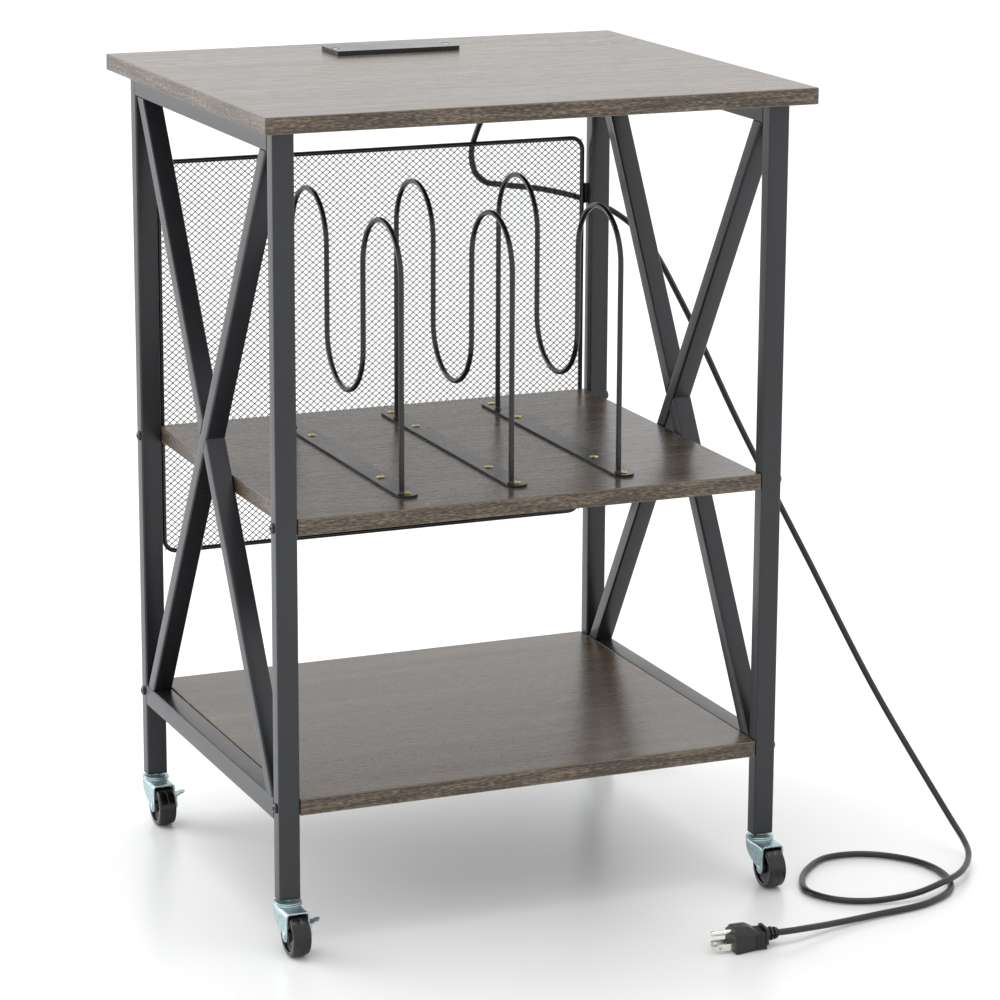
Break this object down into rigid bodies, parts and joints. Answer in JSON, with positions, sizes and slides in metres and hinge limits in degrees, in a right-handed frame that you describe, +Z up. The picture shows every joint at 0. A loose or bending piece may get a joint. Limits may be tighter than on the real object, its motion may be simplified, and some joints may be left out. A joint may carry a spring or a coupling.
{
  "type": "mobile printer stand",
  "caption": "Rolling printer stand with wood-look shelves, X-braced steel side frames, wire file dividers, a mesh back, swivel casters and a power unit with its cord",
  "frame": {"origin": "middle of the stand's footprint box, on the floor, without the cord and plug", "axes": "+Z up, -Y towards the user at the front, +X to the user's right"},
  "size_m": [0.7064, 0.5867, 0.7543],
  "materials": {
    "oak_top": "grey-brown oak laminate, satin",
    "oak_shelf": "grey-brown oak laminate, semi-gloss",
    "powder_coat": "dark charcoal powder coat, fine texture",
    "black_steel": "satin black coated steel",
    "black_mesh": "black coated expanded steel mesh",
    "zinc": "bright blue-white zinc plating",
    "black_plastic": "matt black moulded plastic",
    "wheel_plastic": "satin black nylon with moulding lines",
    "cord_jacket": "matt black flexible jacket",
    "brass": "yellow zinc plated screw heads",
    "prong_metal": "nickel plated prongs"
  },
  "bodies": {
    "frame": {"tabletop": "oak_top", "middle_shelf": "oak_shelf", "bottom_shelf": "oak_shelf", "left_front_leg": "powder_coat", "left_rear_leg": "powder_coat", "left_top_rail": "powder_coat", "left_bottom_rail": "powder_coat", "left_brace_long": "powder_coat", "left_brace_upper": "powder_coat", "left_brace_lower": "powder_coat", "right_front_leg": "powder_coat", "right_rear_leg": "powder_coat", "right_top_rail": "powder_coat", "right_bottom_rail": "powder_coat", "right_brace_long": "powder_coat", "right_brace_upper": "powder_coat", "right_brace_lower": "powder_coat", "left_front_middle_shelf_bolt": "black_steel", "left_rear_middle_shelf_bolt": "black_steel", "left_front_bottom_shelf_bolt": "black_steel", "left_rear_bottom_shelf_bolt": "black_steel", "right_front_middle_shelf_bolt": "black_steel", "right_rear_middle_shelf_bolt": "black_steel", "right_front_bottom_shelf_bolt": "black_steel", "right_rear_bottom_shelf_bolt": "black_steel", "mesh_frame": "black_steel", "mesh_sheet": "black_mesh", "divider_strip_1": "black_steel", "divider_wire_1": "black_steel", "divider_strip_2": "black_steel", "divider_wire_2": "black_steel", "divider_strip_3": "black_steel", "divider_wire_3": "black_steel", "power_plate": "black_steel", "power_housing": "black_plastic", "cord_relief": "cord_jacket", "power_cord": "cord_jacket", "power_plug": "cord_jacket", "front_left_leg_insert": "black_plastic", "front_left_caster_stem": "zinc", "rear_left_leg_insert": "black_plastic", "rear_left_caster_stem": "zinc", "front_right_leg_insert": "black_plastic", "front_right_caster_stem": "zinc", "rear_right_leg_insert": "black_plastic", "rear_right_caster_stem": "zinc"},
    "front_left_swivel": {"front_left_caster_fork": "zinc", "front_left_caster_axle": "zinc"},
    "front_left_wheel": {"front_left_caster_wheel": "wheel_plastic"},
    "front_left_brake": {"front_left_brake_lever": "zinc"},
    "rear_left_swivel": {"rear_left_caster_fork": "zinc", "rear_left_caster_axle": "zinc"},
    "rear_left_wheel": {"rear_left_caster_wheel": "wheel_plastic"},
    "rear_left_brake": {"rear_left_brake_lever": "zinc"},
    "front_right_swivel": {"front_right_caster_fork": "zinc", "front_right_caster_axle": "zinc"},
    "front_right_wheel": {"front_right_caster_wheel": "wheel_plastic"},
    "rear_right_swivel": {"rear_right_caster_fork": "zinc", "rear_right_caster_axle": "zinc"},
    "rear_right_wheel": {"rear_right_caster_wheel": "wheel_plastic"}
  },
  "joints": [
    {"name": "front_left_caster_swivel", "type": "hinge", "parent": "frame", "child": "front_left_swivel", "pos_m": [-0.235, -0.188, 0.04], "axis": [0, 0, 1], "continuous": true},
    {"name": "front_left_wheel_roll", "type": "hinge", "parent": "front_left_swivel", "child": "front_left_wheel", "pos_m": [-0.235, -0.2095, 0.019], "axis": [1, 0, 0], "continuous": true},
    {"name": "front_left_brake_press", "type": "hinge", "parent": "front_left_swivel", "child": "front_left_brake", "pos_m": [-0.235, -0.2095, 0.019], "axis": [1, 0, 0], "range_deg": [0, 25]},
    {"name": "rear_left_caster_swivel", "type": "hinge", "parent": "frame", "child": "rear_left_swivel", "pos_m": [-0.235, 0.195, 0.04], "axis": [0, 0, 1], "continuous": true},
    {"name": "rear_left_wheel_roll", "type": "hinge", "parent": "rear_left_swivel", "child": "rear_left_wheel", "pos_m": [-0.235, 0.1735, 0.019], "axis": [1, 0, 0], "continuous": true},
    {"name": "rear_left_brake_press", "type": "hinge", "parent": "rear_left_swivel", "child": "rear_left_brake", "pos_m": [-0.235, 0.1735, 0.019], "axis": [1, 0, 0], "range_deg": [0, 25]},
    {"name": "front_right_caster_swivel", "type": "hinge", "parent": "frame", "child": "front_right_swivel", "pos_m": [0.235, -0.188, 0.04], "axis": [0, 0, 1], "continuous": true},
    {"name": "front_right_wheel_roll", "type": "hinge", "parent": "front_right_swivel", "child": "front_right_wheel", "pos_m": [0.235, -0.2095, 0.019], "axis": [1, 0, 0], "continuous": true},
    {"name": "rear_right_caster_swivel", "type": "hinge", "parent": "frame", "child": "rear_right_swivel", "pos_m": [0.235, 0.195, 0.04], "axis": [0, 0, 1], "continuous": true},
    {"name": "rear_right_wheel_roll", "type": "hinge", "parent": "rear_right_swivel", "child": "rear_right_wheel", "pos_m": [0.235, 0.1735, 0.019], "axis": [1, 0, 0], "continuous": true}
  ]
}
